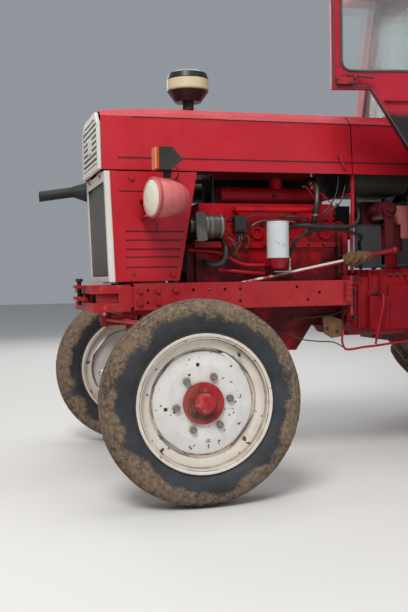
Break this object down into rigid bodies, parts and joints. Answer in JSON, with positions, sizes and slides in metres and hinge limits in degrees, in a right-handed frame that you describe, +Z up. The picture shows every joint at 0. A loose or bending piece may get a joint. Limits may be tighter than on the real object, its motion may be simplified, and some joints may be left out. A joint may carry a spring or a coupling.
{
  "type": "vintage tractor",
  "caption": "Old two-wheel-drive farm tractor with an open cab door, tilting hood, steered front wheels, big lugged rear wheels and a rear three-point hitch.",
  "frame": {"origin": "on the ground, under the middle of the bounding box", "axes": "+X forward, +Y to the tractor's left, +Z up"},
  "size_m": [3.7927, 1.87, 2.562],
  "materials": {
    "red_paint": "gloss, faded and scratched",
    "frame_paint": "faded, chipped and rusty",
    "cab_paint": "faded gloss",
    "roof_paint": "chalky",
    "tyre": "worn, dusted with dry mud",
    "wheel_paint": "worn white with rust and dust",
    "hub_paint": "chipped",
    "grille_paint": "yellowed white",
    "cream_paint": "dusty cream",
    "lamp_paint": "sun-bleached red",
    "black_plastic": "dusty",
    "lens": "clear",
    "glass": "clear, dusty",
    "bare_metal": "dull, oily",
    "filter_paint": "satin white",
    "black_paint": "worn black",
    "exhaust_steel": "heat-dulled black",
    "tank_paint": "dark olive",
    "hose_rubber": "dull",
    "seat_vinyl": "worn vinyl",
    "worn_steel": "dark, greasy"
  },
  "bodies": {
    "chassis": {"front_support": "frame_paint", "frame_rails": "frame_paint", "front_axle": "frame_paint", "steering_column": "frame_paint", "engine_block": "red_paint", "rocker_cover": "red_paint", "oil_filter": "filter_paint", "alternator_starter": "bare_metal", "radiator": "black_paint", "cooling_fan": "bare_metal", "air_cleaner": "black_paint", "engine_hoses": "hose_rubber", "exhaust": "exhaust_steel", "transmission": "red_paint", "fuel_tank": "tank_paint", "battery": "black_plastic", "cowl": "red_paint", "lower_grille": "grille_paint", "side_panels": "red_paint", "headlights": "lamp_paint", "indicators": "black_plastic", "lamp_lenses": "lens", "platform": "black_paint", "rear_fenders": "cab_paint", "cab_frame": "cab_paint", "cab_roof": "roof_paint", "cab_glass": "glass", "seat_frame": "black_paint", "seat_cushions": "seat_vinyl", "controls": "black_paint", "drawbar": "frame_paint"},
    "knuckle_left": {"knuckle_left": "frame_paint"},
    "knuckle_right": {"knuckle_right": "frame_paint"},
    "front_wheel_left": {"front_tyre_left": "tyre", "front_rim_left": "wheel_paint", "front_hub_left": "hub_paint"},
    "front_wheel_right": {"front_tyre_right": "tyre", "front_rim_right": "wheel_paint", "front_hub_right": "hub_paint"},
    "rear_wheel_left": {"rear_tyre_left": "tyre", "rear_rim_left": "wheel_paint"},
    "rear_wheel_right": {"rear_tyre_right": "tyre", "rear_rim_right": "wheel_paint"},
    "steering_lever": {"steering_lever": "frame_paint"},
    "tie_rods": {"tie_rods": "frame_paint"},
    "drag_link": {"drag_link": "frame_paint"},
    "drop_arm": {"drop_arm": "frame_paint"},
    "steering_wheel": {"steering_wheel": "black_plastic"},
    "hood": {"hood": "red_paint", "upper_grille": "grille_paint", "precleaner": "cream_paint"},
    "door_left": {"door_left": "cab_paint", "door_glass_left": "glass"},
    "door_right": {"door_right": "cab_paint", "door_glass_right": "glass"},
    "lift_arms": {"lift_arms": "frame_paint"},
    "lift_rods": {"lift_rods": "worn_steel"},
    "lower_links": {"lower_links": "worn_steel"},
    "top_link": {"top_link": "worn_steel"}
  },
  "joints": [
    {"name": "steer_left", "type": "hinge", "parent": "chassis", "child": "knuckle_left", "pos_m": [1.38035, 0.6, 0.5], "axis": [0, 0, 1], "range_deg": [-35, 35]},
    {"name": "steer_right", "type": "hinge", "parent": "chassis", "child": "knuckle_right", "pos_m": [1.38035, -0.6, 0.5], "axis": [0, 0, 1], "range_deg": [-35, 35]},
    {"name": "lever_turn", "type": "hinge", "parent": "chassis", "child": "steering_lever", "pos_m": [1.43035, 0, 0.74], "axis": [0, 0, 1], "range_deg": [-28.1, 28.1]},
    {"name": "tie_rods_turn", "type": "hinge", "parent": "steering_lever", "child": "tie_rods", "pos_m": [1.63035, 0, 0.7], "axis": [0, 0, 1], "range_deg": [-28.1, 28.1]},
    {"name": "drag_link_turn", "type": "hinge", "parent": "steering_lever", "child": "drag_link", "pos_m": [1.43035, 0.215, 0.79], "axis": [0, 0, 1], "range_deg": [-28.1, 28.1]},
    {"name": "drop_arm_swing", "type": "hinge", "parent": "chassis", "child": "drop_arm", "pos_m": [0.27035, 0.236, 1.22], "axis": [0, 1, 0], "range_deg": [-30.5, 30.5]},
    {"name": "steering_wheel_turn", "type": "hinge", "parent": "chassis", "child": "steering_wheel", "pos_m": [-0.21965, 0, 1.6], "axis": [-0.7071, 0, 0.7071], "range_deg": [-421, 421]},
    {"name": "front_wheel_left_spin", "type": "hinge", "parent": "knuckle_left", "child": "front_wheel_left", "pos_m": [1.38035, 0.75, 0.41], "axis": [0, 1, 0], "continuous": true},
    {"name": "front_wheel_right_spin", "type": "hinge", "parent": "knuckle_right", "child": "front_wheel_right", "pos_m": [1.38035, -0.75, 0.41], "axis": [0, 1, 0], "continuous": true},
    {"name": "rear_wheel_left_spin", "type": "hinge", "parent": "chassis", "child": "rear_wheel_left", "pos_m": [-1.01965, 0.75, 0.79], "axis": [0, 1, 0], "continuous": true},
    {"name": "rear_wheel_right_spin", "type": "hinge", "parent": "chassis", "child": "rear_wheel_right", "pos_m": [-1.01965, -0.75, 0.79], "axis": [0, 1, 0], "continuous": true},
    {"name": "hood_tilt", "type": "hinge", "parent": "chassis", "child": "hood", "pos_m": [1.66835, 0, 1.374], "axis": [0, 1, 0], "range_deg": [0, 60]},
    {"name": "door_left_swing", "type": "hinge", "parent": "chassis", "child": "door_left", "pos_m": [-0.01465, 0.62, 1.7], "axis": [0, 0, 1], "range_deg": [0, 190]},
    {"name": "door_right_swing", "type": "hinge", "parent": "chassis", "child": "door_right", "pos_m": [-0.01465, -0.62, 1.7], "axis": [0, 0, 1], "range_deg": [0, 190]},
    {"name": "hitch_lift", "type": "hinge", "parent": "chassis", "child": "lift_arms", "pos_m": [-1.23965, 0, 1.08], "axis": [0, 1, 0], "range_deg": [-12, 30]},
    {"name": "lower_links_lift", "type": "hinge", "parent": "chassis", "child": "lower_links", "pos_m": [-1.04965, 0, 0.52], "axis": [0, 1, 0], "range_deg": [-12, 30]},
    {"name": "lift_rods_turn", "type": "hinge", "parent": "lift_arms", "child": "lift_rods", "pos_m": [-1.55599, 0, 1.03173], "axis": [0, 1, 0], "range_deg": [-30, 12]},
    {"name": "top_link_swing", "type": "hinge", "parent": "chassis", "child": "top_link", "pos_m": [-1.31965, 0, 0.93], "axis": [0, 1, 0], "range_deg": [-33, 45]}
  ],
  "couplings": [
    {"joint": "steer_right", "follows": "steer_left", "ratio": 1},
    {"joint": "lever_turn", "follows": "steer_left", "ratio": 0.8},
    {"joint": "tie_rods_turn", "follows": "steer_left", "ratio": -0.8},
    {"joint": "drag_link_turn", "follows": "steer_left", "ratio": -0.8},
    {"joint": "drop_arm_swing", "follows": "steer_left", "ratio": 0.866},
    {"joint": "steering_wheel_turn", "follows": "steer_left", "ratio": 12},
    {"joint": "lower_links_lift", "follows": "hitch_lift", "ratio": 1},
    {"joint": "lift_rods_turn", "follows": "hitch_lift", "ratio": -1}
  ]
}
